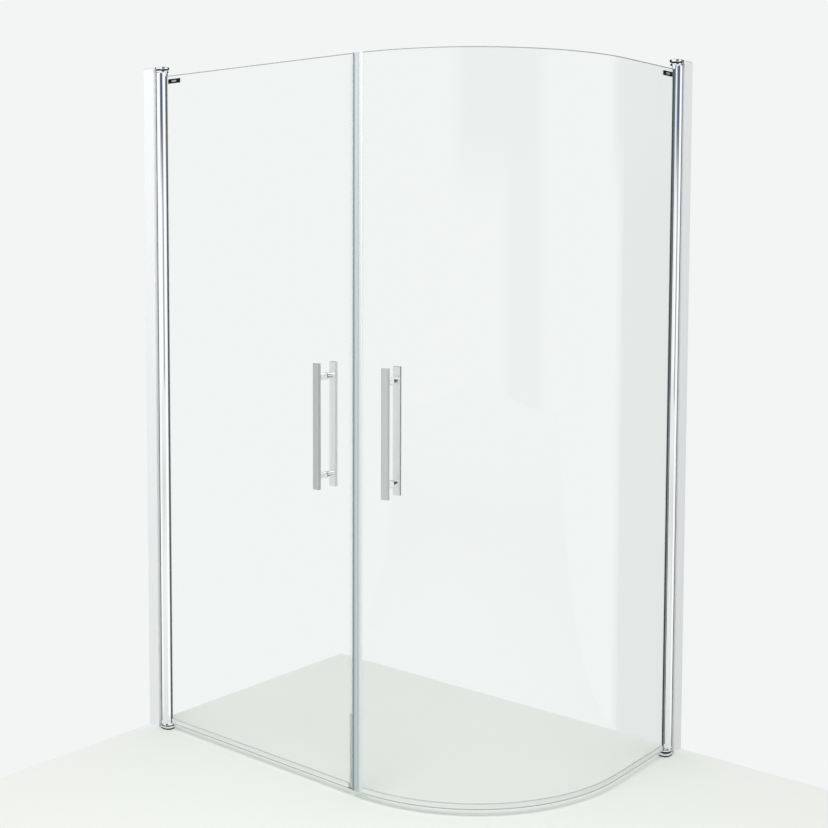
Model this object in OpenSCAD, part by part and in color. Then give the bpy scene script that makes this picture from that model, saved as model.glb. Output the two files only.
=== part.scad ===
// Corner shower enclosure with a flat door and a curved door, for two walls at right angles.
// The origin is the corner of the room on the floor. X runs along the right wall, and Y runs
// along the left wall, where the enclosure lies on its negative side. Z is up.
// Each side is drawn in its own frame: x along the glass from the hinge axis, y outwards, z up.

/* [Enclosure] */
// Height from the floor to the top of the profiles
height = 1950; // [1850:10:2050]
// From the left wall to the middle of the right door's flat glass
width = 1308; // [1208:1:1408]
// From the right wall to the middle of the left door's glass
depth = 838; // [788:1:888]
// Radius of the curved glass, to its middle
corner_radius = 490; // [450:1:510]
// From the left wall to the seam between the doors
seam_reach = 821; // [801:1:841]

/* [Glass] */
// Thickness of the glass
glass_t = 6; // [5:0.5:8]
// Gap between the right door's lower end ring and the glass above it
glass_clear = 1.3; // [1:0.1:10]
// From the top of the profiles to the upper edge of the glass
glass_head = 26; // [22:1:40]
// Distance between the two glass edges at the seam
seam_gap = 20; // [16:1:26]
// Depth of the glass inside the hinge tube, measured from the hinge axis
glass_root = 8.4; // [8:0.1:9.5]

/* [Wall profiles] */
// From the wall to the hinge axis
hinge_reach = 61; // [58:1:75]
// Width of the adjusting profile
profile_w = 28; // [26:0.5:32]
// Wall of both profiles
profile_t = 1.8; // [1.5:0.1:2.5]
// Depth of the wall channel
channel_depth = 28; // [22:1:28]
// Play between the adjusting profile and what sits inside it
slide_play = 0.2; // [0.1:0.05:0.4]
// Gap between the adjusting profile and the wall
wall_gap = 0.5; // [0.3:0.1:2]
// Gap between the adjusting profile and the hinge tube
tube_gap = 3; // [2.5:0.1:4]
// Radius of the wall screw holes
wall_hole_r = 3; // [2.5:0.1:3.5]
// Distance between the outer pair of wall screw holes
outer_hole_spacing = 1750; // [1600:10:1770]
// Distance between the inner pair of wall screw holes
inner_hole_spacing = 590; // [400:10:900]
// Distance between the clamp screws
clamp_spacing = 675; // [500:5:750]
// Thickness of the lid on the profile
cap_t = 2; // [1.5:0.1:3]
// Width of the rubber lip beside the hinge tube
lip_w = 5; // [4:0.5:7]

/* [Brackets and pivots] */
// Radius of the end of the bracket plates
plate_r = 17; // [16.5:0.1:18]
// How far the bracket plates reach past the hinge axis
plate_reach = 11; // [8:0.5:14]
// Thickness of the bracket plates
plate_t = 6.5; // [5:0.1:8]
// Thickness of the rubber pad under the foot bracket
pad_t = 3.5; // [1:0.1:4]
// How far the rubber pad stays inside the plate's outline
pad_inset = 1; // [0.5:0.1:2]
// Chamfer on the edges of the plates and end rings
edge_chamfer = 1; // [0.4:0.1:1.4]
// Width of the neck between plate and profile
neck_w = 16; // [12:0.5:18]
// Height of the block inside the profile
block_h = 36; // [30:1:60]
// Radius of the pivot pins
pin_r = 5; // [4:0.1:5.2]
// Running clearance of the pins in the end rings
pin_play = 0.05; // [0.02:0.01:0.1]
// Seat clearance of the pins and studs in what holds them
seat_play = 0.02; // [0.01:0.01:0.05]
// Length of the pivot pins
pin_length = 42; // [36:1:60]
// Radius of the bearing washers
washer_r = 12; // [9:0.5:14]
// Thickness of the bearing washers
washer_t = 3.4; // [2.5:0.1:4]
// Thickness of the left door's lower bearing washer
low_washer_t = 0.7; // [0.5:0.1:3]
// Gap between a bearing washer and the end ring it faces
washer_gap = 0.3; // [0.2:0.05:0.5]

/* [Hinge tube] */
// Outer radius of the hinge tube
tube_r = 15; // [15:0.1:16]
// Wall of the hinge tube
tube_t = 2.4; // [2:0.1:2.6]
// Wall of the tube's pocket and jaws, which hold the glass
pocket_t = 1.6; // [1.2:0.1:2]
// How far the jaws reach along the glass from the hinge axis
jaw_reach = 26; // [24:0.5:27]
// Radius of the end rings
ring_r = 16; // [15.5:0.1:16.5]
// How far the end rings reach along the glass past the hinge axis
ring_reach = 9; // [6:0.5:12]
// Thickness of the end rings
ring_t = 5; // [4:0.1:5.5]
// Thickness of the left door's lower end ring
low_ring_t = 1.5; // [1:0.1:5]
// Height of the groove between an end ring and the tube
joint_h = 2.5; // [1.5:0.1:3]
// Depth of that groove under the tube's surface
joint_depth = 1.5; // [1:0.1:1.8]
// Length of the spigot inside the tube
spigot_h = 32; // [20:1:50]
// Play of the spigot in the tube
spigot_play = 0.15; // [0.1:0.05:0.3]

/* [Seals] */
// Wall of the gasket around the glass in the tube
gasket_t = 1.1; // [0.8:0.1:1.4]
// How far the gasket's lips spread over the ends of the jaws
gasket_lip = 1.2; // [0.8:0.1:2]
// How far those lips reach along the glass past the jaws
gasket_reach = 2; // [1:0.1:2.5]
// Wall of the clip-on seals
seal_t = 1.2; // [0.8:0.1:1.5]
// How far the magnet seal clips over the glass
magnet_clip = 12; // [8:1:20]
// Width of the magnet seal across the glass
magnet_seal_w = 11; // [9.5:0.1:14]
// Gap between the two magnet seals when the doors are closed
magnet_gap = 0.3; // [0.2:0.05:0.5]
// How far the drip seal clips up over the glass
drip_clip = 14; // [8:1:20]
// Height of the drip seal's fin below the glass
drip_fin = 4; // [2:0.5:6]
// Distance from the gasket's lips to the start of the drip seal
drip_start = 2; // [1:0.5:14]

/* [Handles] */
// Length of the handle bars
bar_length = 330; // [250:5:450]
// Width of the handle bars
bar_w = 20; // [20:0.5:26]
// Thickness of the handle bars
bar_t = 10; // [8:0.5:14]
// Radius of the bars' long edges
bar_edge_r = 1.5; // [0.5:0.1:3]
// From the middle of the glass to the middle of a bar
bar_offset = 33; // [28:0.5:45]
// Height of the middle of the handles
handle_height = 970; // [900:5:1100]
// Distance between the posts of a handle
post_spacing = 260; // [160:5:300]
// Radius of the outer posts
outer_post_r = 10; // [8:0.1:10]
// Radius of the inner posts
inner_post_r = 7; // [6:0.1:8]
// Distance from the glass edge to the middle of the handle
handle_inset = 98; // [70:1:150]
// Radius of the studs through the glass
stud_r = 3; // [2.5:0.1:4]
// Depth of a stud in each post
stud_depth = 14; // [8:1:18]
// Radius of the holes in the glass
glass_hole_r = 5; // [4.5:0.1:5.5]
// Thickness of the washers between posts and glass
post_washer_t = 1; // [0.5:0.1:2]

/* [Badge] */
// Width of the badge
badge_w = 52; // [30:1:70]
// Height of the badge
badge_h = 13; // [8:0.5:20]
// Thickness of the badge
badge_t = 1; // [0.6:0.1:2]
// Distance from the hinge axis to the badge
badge_start = 36.5; // [30:0.5:60]
// Distance from the top of the glass to the badge
badge_drop = 10; // [5:0.5:30]

/* [Screws] */
// Shank radius of the clamp and bracket screws
screw_r = 2; // [1.5:0.1:2.5]
// Head radius of those screws
screw_head_r = 3.8; // [3:0.1:4.5]
// Head height of those screws
screw_head_h = 2; // [1.5:0.1:3]
// Length of their shank
screw_length = 8; // [6:0.5:10]
// Clearance of the shank in its holes
screw_play = 0.1; // [0.05:0.05:0.3]

/* [Hidden] */
$fn = 96;
// How far cuts run past what they cut
past = 1;
// Play of the bracket necks in their notches
notch_play = 0.2;
// Gap between the rubber lip and the hinge tube
lip_gap = 0.3;
// Distance from the ends of the hinge tube to the rubber lip
lip_end = 1;
// Play of the gasket at the bottom of the pocket and of its lips over the jaws
gasket_play = 0.05;
// Chamfer on the ends of the jaws
jaw_chamfer = 0.6;
// Gap between the glass and the keys that close the tube's pocket
key_gap = 0.2;
// Wall between a magnet strip and the seam
magnet_wall = 1.8;
// Play of a magnet strip in its seal
magnet_play = 0.1;
// Distance between the drip seal and the magnet seal
drip_gap = 1;
// Chamfer on the edges of the rubber pad
pad_chamfer = 0.3;

// Heights, from the floor up
pad_top = pad_t;
plate_top = pad_top + plate_t;
glass_foot = plate_top + washer_t + washer_gap + ring_t + glass_clear;
glass_top = height - glass_head;
head_plate_foot = height - plate_t;
ring_head = head_plate_foot - washer_t - washer_gap;
tube_head = ring_head - ring_t - joint_h;
joint_r = tube_r - joint_depth;
profile_top = height - cap_t;
head_block_foot = profile_top - block_h;
mid_height = height / 2;
clamp_heights = [for (i = [-1 : 1]) mid_height + i * clamp_spacing];
bracket_screw_heights = [pad_top + block_h / 2, profile_top - block_h / 2];

// Along the glass from the hinge axis, in a side's own frame
profile_back = -hinge_reach + wall_gap;
profile_front = -(tube_r + tube_gap);
block_front = profile_front - profile_t - slide_play;
channel_front = -hinge_reach + channel_depth;
block_back = channel_front + slide_play * 2;
lip_front = -tube_r - lip_gap;
clamp_x = (channel_front - hinge_reach) / 2;
bracket_screw_x = (block_front + block_back) / 2;

// Across the profiles
inner_half = profile_w / 2 - profile_t;
channel_half = inner_half - slide_play;

// Glass and seals
pocket_half = glass_t / 2 + gasket_t;
pocket_floor = glass_root - gasket_t - 2 * gasket_play;
jaw_half = pocket_half + pocket_t;
lip_start = jaw_reach + gasket_play;
gasket_end = lip_start + gasket_reach;
key_end = min(jaw_reach, ring_reach + ring_r) - edge_chamfer - joint_depth;
spigot_flat = pocket_floor - pocket_t - spigot_play;
straight_run = depth - corner_radius - hinge_reach;
arc_end = straight_run + PI / 2 * corner_radius;
left_edge = seam_reach - seam_gap / 2 - hinge_reach;
// Flat stretch between the arc and the seam, negative where the arc ends at the seam itself
front_run = width - corner_radius - seam_reach - seam_gap / 2;
arc_short = asin(max(-front_run, 0) / corner_radius);
right_edge = arc_end + max(front_run, 0) - arc_short * PI / 180 * corner_radius;
drip_foot = glass_foot - drip_fin;
chamber_depth = seam_gap / 2 - seal_t - magnet_wall;
chamber_half = magnet_seal_w / 2 - seal_t;

// Handles
hollow_r = corner_radius - glass_t / 2;
post_foot = glass_t / 2 + post_washer_t;
post_length = bar_offset - bar_t / 2 - post_foot;

// Where a side's glass ends, measured along the glass from the hinge axis
function glass_edge(side) = side == "left" ? left_edge : right_edge;

// Thickness of a side's lower bearing washer
function foot_washer_t(side) = side == "left" ? low_washer_t : washer_t;

// Thickness of a side's lower end ring
function foot_ring_t(side) = side == "left" ? low_ring_t : ring_t;

// Height of the lower end of a side's hinge tube
function tube_foot(side) =
    plate_top + foot_washer_t(side) + washer_gap + foot_ring_t(side) + joint_h;

// Where a side's glass starts to bend
function flat_until(side) = side == "left" ? 2 * width : straight_run;

// Where a side's glass stops bending
function bent_until(side) = side == "left" ? 2 * width : arc_end;

// Angle of the arc at a distance along the right glass
function arc_angle(along) = (along - straight_run) / corner_radius * 180 / PI;

// How far a flat washer on a side's inner face stands off its middle, because the curve is hollow
function washer_lift(side) =
    side == "left" ? 0 : hollow_r - sqrt(hollow_r * hollow_r - inner_post_r * inner_post_r) + seat_play;

// Puts a side's own frame in its place in the room
module placed(side) {
    if (side == "left") {
        translate([hinge_reach, -depth, 0]) mirror([0, 1, 0]) children();
    } else {
        translate([width, -hinge_reach, 0]) rotate([0, 0, -90]) children();
    }
}

// A point on the glass, with x along it and y outwards
module on_glass(side, along) {
    if (along <= flat_until(side)) {
        translate([along, 0, 0]) children();
    } else if (along < bent_until(side)) {
        translate([straight_run, -corner_radius, 0])
            rotate([0, 0, -arc_angle(along)])
            translate([0, corner_radius, 0]) children();
    } else {
        translate([straight_run + corner_radius, -corner_radius - along + arc_end, 0])
            rotate([0, 0, -90]) children();
    }
}

// A strip that follows the glass from one distance to another, between two offsets from its
// middle and two heights
module strip(side, from, to, inside, outside, foot, head) {
    flat_end = min(to, flat_until(side));
    front_start = max(from, bent_until(side));
    wall = [outside - inside, head - foot];
    if (from < flat_end) {
        translate([from, inside, foot]) cube([flat_end - from, wall.x, wall.y]);
    }
    if (to > flat_until(side) && from < bent_until(side)) {
        beyond = [2 * corner_radius, 2 * corner_radius, wall.y + 2 * past];
        translate([straight_run, -corner_radius, 0]) difference() {
            rotate_extrude(angle = 90, $fn = 180) translate([corner_radius + inside, foot]) square(wall);
            if (to < bent_until(side)) {
                rotate([0, 0, -arc_angle(to)]) translate([0, 0, foot - past]) cube(beyond);
            }
            if (from > flat_until(side)) {
                rotate([0, 0, -arc_angle(from)]) translate([-beyond.x, 0, foot - past]) cube(beyond);
            }
        }
    }
    if (to > front_start) {
        on_glass(side, front_start) translate([0, inside, foot]) cube([to - front_start, wall.x, wall.y]);
    }
}

// A disc with chamfered edges
module disc(r, foot, head, chamfer) {
    translate([0, 0, foot]) cylinder(r1 = r - chamfer, r2 = r, h = chamfer);
    translate([0, 0, foot + chamfer]) cylinder(r = r, h = head - foot - 2 * chamfer);
    translate([0, 0, head - chamfer]) cylinder(r1 = r, r2 = r - chamfer, h = chamfer);
}

// A flat plate with round ends and chamfered edges, from the hinge axis to a reach along the glass
module oblong(r, reach, foot, head, chamfer) {
    half = [r - chamfer, r, r, r - chamfer];
    level = [foot, foot + chamfer, head - chamfer, head];
    disc(r, foot, head, chamfer);
    translate([reach, 0, 0]) disc(r, foot, head, chamfer);
    rotate([90, 0, 90]) linear_extrude(reach) polygon([
        for (i = [0 : 3]) [half[i], level[i]],
        for (i = [3 : -1 : 0]) [-half[i], level[i]]
    ]);
}

// A vertical cylinder on the hinge axis
module post_z(r, foot, head) {
    translate([0, 0, foot]) cylinder(r = r, h = head - foot);
}

// A cylinder across the glass, from one offset to another
module across(r, from, to) {
    translate([0, from, 0]) rotate([-90, 0, 0]) cylinder(r = r, h = to - from);
}

// A screw through the inner side of the adjusting profile
module side_screw(x, z) {
    translate([x, -profile_w / 2, z]) {
        across(screw_r, 0, screw_length);
        across(screw_head_r, -screw_head_h, 0);
    }
}

// The hole for such a screw
module side_hole(x, z) {
    translate([x, -profile_w / 2, z]) across(screw_r + screw_play, -past, screw_length + past);
}

// Sides fixed to the walls

module wall_channel(side) {
    color([0.80, 0.81, 0.82]) placed(side) difference() {
        translate([-hinge_reach, -channel_half, 0])
            cube([channel_depth, 2 * channel_half, profile_top - notch_play]);
        translate([-hinge_reach + profile_t, -channel_half + profile_t, -past])
            cube([channel_depth, 2 * (channel_half - profile_t), profile_top + 2 * past]);
        for (spacing = [outer_hole_spacing, inner_hole_spacing], end = [-1, 1])
            translate([-hinge_reach - past, 0, mid_height + end * spacing / 2])
                rotate([0, 90, 0]) cylinder(r = wall_hole_r, h = profile_t + 2 * past);
        for (z = clamp_heights) side_hole(clamp_x, z);
    }
}

// The notch for the neck of a bracket
module neck_notch(foot, head) {
    translate([profile_front - profile_t - past, -neck_w / 2 - notch_play, foot])
        cube([profile_t + 2 * past, neck_w + 2 * notch_play, head - foot]);
}

module adjusting_profile(side) {
    length = profile_front - profile_back;
    color([0.88, 0.89, 0.89]) placed(side) difference() {
        translate([profile_back, -profile_w / 2, 0]) cube([length, profile_w, profile_top]);
        translate([profile_back - past, -inner_half, -past])
            cube([length - profile_t + past, 2 * inner_half, profile_top + 2 * past]);
        neck_notch(-past, plate_top + notch_play);
        neck_notch(head_plate_foot - notch_play, profile_top + past);
        for (z = clamp_heights) side_hole(clamp_x, z);
        for (z = bracket_screw_heights) side_hole(bracket_screw_x, z);
    }
}

module clamp_screws(side) {
    color([0.75, 0.76, 0.78]) placed(side)
        for (z = clamp_heights) side_screw(clamp_x, z);
}

module profile_cap(side) {
    color([0.72, 0.73, 0.73]) placed(side)
        translate([profile_back, -profile_w / 2, profile_top])
        cube([profile_front - profile_back, profile_w, cap_t]);
}

module tube_seal(side) {
    color([0.25, 0.26, 0.27]) placed(side)
        translate([profile_front, -lip_w / 2, tube_foot(side) + lip_end])
        cube([lip_front - profile_front, lip_w, tube_head - tube_foot(side) - 2 * lip_end]);
}

// A bracket: a plate around the hinge axis, a neck and a block inside the profile
module bracket(plate_low, plate_high, neck_high, block_low, pin_low, pin_high, screw_z) {
    difference() {
        union() {
            oblong(plate_r, plate_reach, plate_low, plate_high, edge_chamfer);
            translate([block_front, -neck_w / 2, plate_low])
                cube([-block_front, neck_w, neck_high - plate_low]);
            translate([block_back, -inner_half + slide_play / 2, block_low])
                cube([block_front - block_back, 2 * inner_half - slide_play, block_h]);
        }
        post_z(pin_r + seat_play, pin_low, pin_high);
        translate([bracket_screw_x, -profile_w / 2, screw_z])
            across(screw_r + seat_play, 0, screw_length + past);
    }
}

module foot_bracket(side) {
    color([0.85, 0.86, 0.88]) placed(side)
        bracket(pad_top, plate_top, plate_top, pad_top, pad_top - past, plate_top + past,
            bracket_screw_heights[0]);
}

module foot_pad(side) {
    color([0.06, 0.06, 0.07]) placed(side) {
        oblong(plate_r - pad_inset, plate_reach, 0, pad_top, pad_chamfer);
    }
}

module head_bracket(side) {
    color([0.85, 0.86, 0.88]) placed(side)
        bracket(head_plate_foot, height, profile_top, head_block_foot, head_plate_foot - past, profile_top,
            bracket_screw_heights[1]);
}

module bracket_screws(side) {
    color([0.75, 0.76, 0.78]) placed(side)
        for (z = bracket_screw_heights) side_screw(bracket_screw_x, z);
}

module pivot_pins(side) {
    color([0.70, 0.71, 0.73]) placed(side) {
        post_z(pin_r, pad_top, pad_top + pin_length);
        post_z(pin_r, profile_top - pin_length, profile_top);
    }
}

// A washer around the pivot pin
module bearing_washer(foot, head) {
    difference() {
        post_z(washer_r, foot, head);
        post_z(pin_r + seat_play, foot - past, head + past);
    }
}

module bearing_washers(side) {
    color([0.12, 0.12, 0.13]) placed(side) {
        bearing_washer(plate_top, plate_top + foot_washer_t(side));
        bearing_washer(head_plate_foot - washer_t, head_plate_foot);
    }
}

// Doors

module hinge_tube(side) {
    color([0.86, 0.87, 0.89]) placed(side)
        translate([0, 0, tube_foot(side)]) linear_extrude(tube_head - tube_foot(side)) difference() {
            union() {
                difference() {
                    circle(r = tube_r);
                    circle(r = tube_r - tube_t);
                }
                polygon([
                    [pocket_floor - pocket_t, -jaw_half],
                    [jaw_reach - jaw_chamfer, -jaw_half],
                    [jaw_reach, -jaw_half + jaw_chamfer],
                    [jaw_reach, jaw_half - jaw_chamfer],
                    [jaw_reach - jaw_chamfer, jaw_half],
                    [pocket_floor - pocket_t, jaw_half]
                ]);
            }
            translate([pocket_floor, -pocket_half]) square([jaw_reach, 2 * pocket_half]);
        }
}

// An end ring with a narrower neck that meets the tube, a spigot inside the tube and a key that
// closes the tube's pocket, each from one height to another
module end_ring(ring, neck, spigot, key) {
    key_half = pocket_half - spigot_play;
    difference() {
        union() {
            oblong(ring_r, ring_reach, ring[0], ring[1], min(edge_chamfer, (ring[1] - ring[0]) / 4));
            post_z(joint_r, neck[0], neck[1]);
            difference() {
                post_z(tube_r - tube_t - spigot_play, spigot[0], spigot[1]);
                translate([spigot_flat, -tube_r, spigot[0] - past])
                    cube([tube_r, 2 * tube_r, spigot[1] - spigot[0] + 2 * past]);
            }
            translate([pocket_floor + spigot_play, -key_half, key[0]])
                cube([key_end - pocket_floor - spigot_play, 2 * key_half, key[1] - key[0]]);
        }
        post_z(pin_r + pin_play, min(ring[0], spigot[0]) - past, max(ring[1], spigot[1]) + past);
    }
}

module lower_ring(side) {
    foot = tube_foot(side);
    ring_top = foot - joint_h;
    key_top = glass_foot - key_gap;
    color([0.87, 0.88, 0.90]) placed(side) difference() {
        end_ring([ring_top - foot_ring_t(side), ring_top], [ring_top, foot], [foot, foot + spigot_h],
            [ring_top, key_top]);
        // Room for the glass, whose lower edge can lie below the tube
        translate([pocket_floor, -pocket_half, key_top]) cube([tube_r, 2 * pocket_half, spigot_h]);
    }
}

module upper_ring(side) {
    ring_foot = tube_head + joint_h;
    color([0.87, 0.88, 0.90]) placed(side)
        end_ring([ring_foot, ring_head], [tube_head, ring_foot], [tube_head - spigot_h, tube_head],
            [glass_top + key_gap, ring_foot]);
}

module glass(side) {
    color([0.80, 0.88, 0.86, 0.35]) placed(side) difference() {
        strip(side, glass_root, glass_edge(side), -glass_t / 2, glass_t / 2, glass_foot, glass_top);
        at_posts(side) across(glass_hole_r, -glass_t, glass_t);
    }
}

module glass_gasket(side) {
    face = glass_t / 2;
    color([0.30, 0.31, 0.32]) placed(side) translate([0, 0, glass_foot]) {
        translate([glass_root - gasket_t, -pocket_half, 0])
            cube([gasket_t, 2 * pocket_half, glass_top - glass_foot]);
        for (half = [0, 1]) mirror([0, half, 0]) linear_extrude(glass_top - glass_foot) polygon([
            [glass_root, face],
            [gasket_end, face],
            [gasket_end, face + gasket_t / 2],
            [lip_start, pocket_half + gasket_lip],
            [lip_start, pocket_half],
            [glass_root, pocket_half]
        ]);
    }
}

// Trims whatever passes the seam or the glass's height, which leaves the closing faces upright
// and parallel
module trim_at_seam(side) {
    block = 2 * (seam_gap + magnet_clip);
    start = seam_reach + (side == "left" ? -magnet_gap / 2 - block : magnet_gap / 2);
    intersection() {
        placed(side) children();
        translate([start, -depth - block / 2, glass_foot]) cube([block, block, glass_top - glass_foot]);
    }
}

module magnet_seal(side) {
    edge = glass_edge(side);
    foot = glass_foot - past;
    head = glass_top + past;
    color([0.80, 0.80, 0.85]) trim_at_seam(side) {
        for (face = [-1, 1]) {
            inside = face < 0 ? -glass_t / 2 - seal_t : glass_t / 2;
            strip(side, edge - magnet_clip, edge + seal_t / 2, inside, inside + seal_t, foot, head);
        }
        on_glass(side, edge) difference() {
            translate([0, -magnet_seal_w / 2, foot]) cube([seam_gap, magnet_seal_w, head - foot]);
            translate([seal_t, -chamber_half, foot - past])
                cube([chamber_depth, 2 * chamber_half, head - foot + 2 * past]);
        }
    }
}

module magnet_strip(side) {
    half = chamber_half - magnet_play;
    color([0.55, 0.56, 0.60]) placed(side)
        on_glass(side, glass_edge(side))
        translate([seal_t + magnet_play, -half, glass_foot])
        cube([chamber_depth - 2 * magnet_play, 2 * half, glass_top - glass_foot]);
}

module drip_seal(side) {
    start = gasket_end + drip_start;
    stop = glass_edge(side) - magnet_clip - drip_gap;
    half = glass_t / 2 + seal_t;
    color([0.78, 0.81, 0.82]) placed(side) {
        strip(side, start, stop, glass_t / 2, half, glass_foot, glass_foot + drip_clip);
        strip(side, start, stop, -half, -glass_t / 2, glass_foot, glass_foot + drip_clip);
        strip(side, start, stop, -half, half, glass_foot - seal_t, glass_foot);
        strip(side, start, stop, -half, -half + seal_t, drip_foot, glass_foot - seal_t);
    }
}

// A flat bar with rounded long edges, standing on the glass at a side's handle
module bar(side, offset) {
    inner_w = bar_w - 2 * bar_edge_r;
    inner_t = bar_t - 2 * bar_edge_r;
    placed(side) on_glass(side, glass_edge(side) - handle_inset)
        translate([0, offset, handle_height - bar_length / 2]) linear_extrude(bar_length) {
            square([bar_w, inner_t], center = true);
            square([inner_w, bar_t], center = true);
            for (x = [-1, 1], y = [-1, 1])
                translate([x * inner_w / 2, y * inner_t / 2]) circle(r = bar_edge_r, $fn = 24);
        }
}

// Both places of a handle's posts, with y outwards from the middle of the glass
module at_posts(side) {
    on_glass(side, glass_edge(side) - handle_inset)
        for (end = [-1, 1])
            translate([0, 0, handle_height + end * post_spacing / 2]) children();
}

// A post with the hole for its stud
module post(r) {
    difference() {
        across(r, post_foot, post_foot + post_length);
        across(stud_r + seat_play, post_foot - past, post_foot + stud_depth);
    }
}

module outer_bar(side) {
    color([0.74, 0.75, 0.75]) bar(side, bar_offset);
}

module inner_bar(side) {
    color([0.74, 0.75, 0.75]) bar(side, -bar_offset);
}

module outer_posts(side) {
    color([0.80, 0.81, 0.82]) placed(side) at_posts(side) post(outer_post_r);
}

module inner_posts(side) {
    color([0.80, 0.81, 0.82]) placed(side) at_posts(side) mirror([0, 1, 0]) post(inner_post_r);
}

module handle_studs(side) {
    color([0.70, 0.71, 0.73]) placed(side) at_posts(side)
        across(stud_r, -post_foot - stud_depth, post_foot + stud_depth);
}

// A washer on the stud, from an offset to the foot of the post
module post_washer(r, from) {
    difference() {
        across(r, from, post_foot);
        across(stud_r + seat_play, from - past, post_foot + past);
    }
}

module handle_washers(side) {
    color([0.88, 0.89, 0.89]) placed(side) at_posts(side) {
        post_washer(outer_post_r, glass_t / 2);
        mirror([0, 1, 0]) post_washer(inner_post_r, glass_t / 2 + washer_lift(side));
    }
}

module badge(side) {
    color([0.05, 0.05, 0.06]) placed(side)
        translate([badge_start, glass_t / 2, glass_top - badge_drop - badge_h])
        cube([badge_w, badge_t, badge_h]);
}

wall_channel("left");  // left_wall_channel
adjusting_profile("left");  // left_adjusting_profile
clamp_screws("left");  // left_clamp_screws
profile_cap("left");  // left_profile_cap
tube_seal("left");  // left_tube_seal
foot_bracket("left");  // left_foot_bracket
foot_pad("left");  // left_foot_pad
head_bracket("left");  // left_head_bracket
bracket_screws("left");  // left_bracket_screws
pivot_pins("left");  // left_pivot_pins
bearing_washers("left");  // left_bearing_washers
hinge_tube("left");  // left_hinge_tube
lower_ring("left");  // left_lower_ring
upper_ring("left");  // left_upper_ring
glass("left");  // left_glass
glass_gasket("left");  // left_glass_gasket
magnet_seal("left");  // left_magnet_seal
magnet_strip("left");  // left_magnet_strip
drip_seal("left");  // left_drip_seal
outer_bar("left");  // left_outer_bar
outer_posts("left");  // left_outer_posts
inner_bar("left");  // left_inner_bar
inner_posts("left");  // left_inner_posts
handle_studs("left");  // left_handle_studs
handle_washers("left");  // left_handle_washers
badge("left");  // left_badge
wall_channel("right");  // right_wall_channel
adjusting_profile("right");  // right_adjusting_profile
clamp_screws("right");  // right_clamp_screws
profile_cap("right");  // right_profile_cap
tube_seal("right");  // right_tube_seal
foot_bracket("right");  // right_foot_bracket
foot_pad("right");  // right_foot_pad
head_bracket("right");  // right_head_bracket
bracket_screws("right");  // right_bracket_screws
pivot_pins("right");  // right_pivot_pins
bearing_washers("right");  // right_bearing_washers
hinge_tube("right");  // right_hinge_tube
lower_ring("right");  // right_lower_ring
upper_ring("right");  // right_upper_ring
glass("right");  // right_glass
glass_gasket("right");  // right_glass_gasket
magnet_seal("right");  // right_magnet_seal
magnet_strip("right");  // right_magnet_strip
drip_seal("right");  // right_drip_seal
outer_bar("right");  // right_outer_bar
outer_posts("right");  // right_outer_posts
inner_bar("right");  // right_inner_bar
inner_posts("right");  // right_inner_posts
handle_studs("right");  // right_handle_studs
handle_washers("right");  // right_handle_washers
badge("right");  // right_badge
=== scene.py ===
"""Corner shower enclosure: two glass doors on polished hinge tubes, between pale wall profiles.

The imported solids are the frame. This file gives every piece its material, swaps the screws and the
badges for finer ones, and sets up the floor, the light and the camera.
"""

import math

import bmesh
import bpy
from mathutils import Matrix, Vector


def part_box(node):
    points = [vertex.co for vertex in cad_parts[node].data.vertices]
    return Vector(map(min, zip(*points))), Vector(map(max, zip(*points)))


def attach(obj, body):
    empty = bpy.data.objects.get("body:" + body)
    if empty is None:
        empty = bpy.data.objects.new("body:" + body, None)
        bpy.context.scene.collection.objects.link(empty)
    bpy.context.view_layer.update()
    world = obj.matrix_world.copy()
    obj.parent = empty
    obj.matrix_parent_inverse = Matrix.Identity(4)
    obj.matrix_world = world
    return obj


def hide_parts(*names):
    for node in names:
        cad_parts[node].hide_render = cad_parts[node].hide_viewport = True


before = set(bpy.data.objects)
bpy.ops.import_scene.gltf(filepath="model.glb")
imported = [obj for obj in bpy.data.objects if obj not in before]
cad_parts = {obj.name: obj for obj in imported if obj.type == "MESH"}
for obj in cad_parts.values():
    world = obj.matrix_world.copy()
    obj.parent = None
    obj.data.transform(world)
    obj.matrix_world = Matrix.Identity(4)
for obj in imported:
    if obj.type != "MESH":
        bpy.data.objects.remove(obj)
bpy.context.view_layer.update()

bl_info = {
    "name": "Corner Shower Enclosure",
    "version": (1, 0, 0),
    "blender": (4, 5, 0),
    "location": "View3D > Sidebar > Shower",
    "description": "Dresses a corner shower enclosure with a flat and a curved glass door",
    "category": "Object",
}

SIDES = ("left", "right")
DOOR = {"left": "left_door", "right": "right_door"}
WALL_FRAME = "wall_frames"
MM = 0.001
UP = Vector((0, 0, 1))

# The faces of a side's own pieces: outwards from the glass, and along the glass from the hinge
OUTWARDS = {"left": Vector((0, -1, 0)), "right": Vector((1, 0, 0))}
ALONG = {"left": Vector((1, 0, 0)), "right": Vector((0, -1, 0))}

# The screws: how far a head stands out of its profile, and the ridges' distance on the shank. The
# radius of the shank is a share of the head's, and the radius between its ridges a share of its own
HEAD_HEIGHT = 2 * MM
THREAD_PITCH = 0.9 * MM
SHANK_SHARE = 0.53
THREAD_ROOT_SHARE = 0.8

# The badges: the plate's rounded edge, how far the bar stands out of the plate and how deep it goes
# in, and the bar's own edge and corners
PLATE_EDGE = 0.3 * MM
BAR_STANDS_OUT = 0.15 * MM
BAR_GOES_IN = 0.1 * MM
BAR_EDGE_HEIGHT = 0.05 * MM
BAR_EDGE_WIDTH = 0.1 * MM
BAR_CORNER = 0.6 * MM

# The colour sockets of a Mix node: its two inputs and its output
FIRST, SECOND, MIXED = 6, 7, 2

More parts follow.
